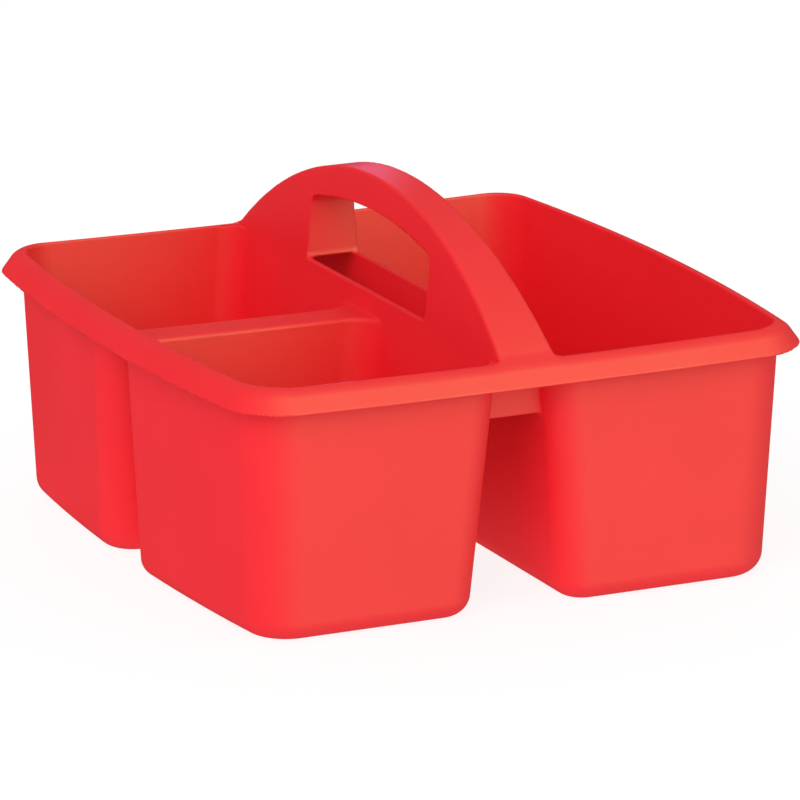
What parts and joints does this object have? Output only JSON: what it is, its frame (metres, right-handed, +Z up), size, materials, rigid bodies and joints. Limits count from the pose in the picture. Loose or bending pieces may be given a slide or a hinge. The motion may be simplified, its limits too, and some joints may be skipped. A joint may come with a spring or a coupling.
{
  "type": "art supply caddy",
  "caption": "Open plastic art supply caddy: three compartments under one flared rim, with an arched carrying handle and hand hole between them.",
  "frame": {"origin": "on the floor, under the middle of the rim's outline", "axes": "+Z up; -Y is the front; -X is the side with the two small compartments; the handle runs along Y"},
  "size_m": [0.2286, 0.235, 0.1305],
  "materials": {
    "moulded_plastic": "semi-gloss moulded polypropylene with a faint fine texture"
  },
  "bodies": {
    "root": {"front_left_bin": "moulded_plastic", "back_left_bin": "moulded_plastic", "right_bin": "moulded_plastic", "rim_flange": "moulded_plastic", "bin_bridge": "moulded_plastic", "handle_left_skin": "moulded_plastic", "handle_right_skin": "moulded_plastic", "handle_grip_band": "moulded_plastic", "hand_hole_front_jamb": "moulded_plastic", "hand_hole_back_jamb": "moulded_plastic", "front_cross_wall": "moulded_plastic", "back_cross_wall": "moulded_plastic"}
  },
  "joints": []
}
